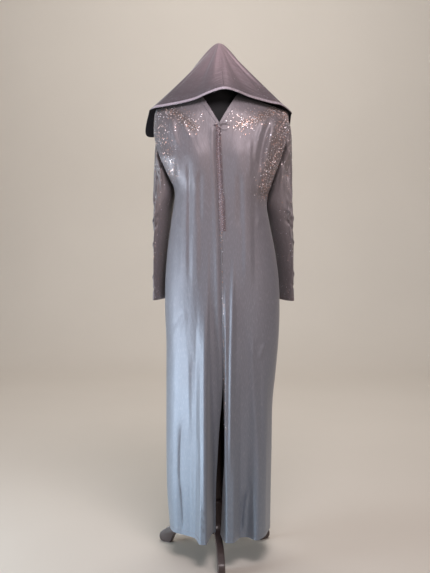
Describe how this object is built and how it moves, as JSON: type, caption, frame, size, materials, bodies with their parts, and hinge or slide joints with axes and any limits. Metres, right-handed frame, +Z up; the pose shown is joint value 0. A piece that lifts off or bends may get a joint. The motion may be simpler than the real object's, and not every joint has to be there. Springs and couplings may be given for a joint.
{
  "type": "abaya on dress form",
  "caption": "Long open-front satin abaya with loose sleeves, stone trim and a peaked hood, hung on a black limbless dress form with a dark wooden tripod stand.",
  "frame": {"origin": "middle of the bounding box on the floor, between the feet of the stand", "axes": "+Z up; the garment's front faces -Y, so the wearer's right side is at -X and the left side at +X"},
  "size_m": [0.49, 0.3792, 1.665],
  "materials": {
    "satin": "satin weave, steel blue shading to mauve grey",
    "pale_satin": "pale satin band set with small stones",
    "braid": "brown-pink woven braid set with small stones",
    "jersey": "black stretched jersey over the form",
    "dark_wood": "dark stained wood, satin varnish"
  },
  "bodies": {
    "root": {"front_right": "satin", "front_left": "satin", "back_right": "satin", "back_left": "satin", "sleeve_right_outer": "satin", "sleeve_right_inner": "satin", "sleeve_left_outer": "satin", "sleeve_left_inner": "satin", "hood": "satin", "neckband_right": "satin", "neckband_left": "satin", "neckband_back_right": "satin", "neckband_back_left": "satin", "hood_band": "pale_satin", "placket_braid": "braid", "neck_hook": "braid", "form_torso": "jersey", "neck_cap": "dark_wood", "pole": "dark_wood", "hub": "dark_wood", "leg_front": "dark_wood", "leg_right": "dark_wood", "leg_left": "dark_wood"}
  },
  "joints": []
}
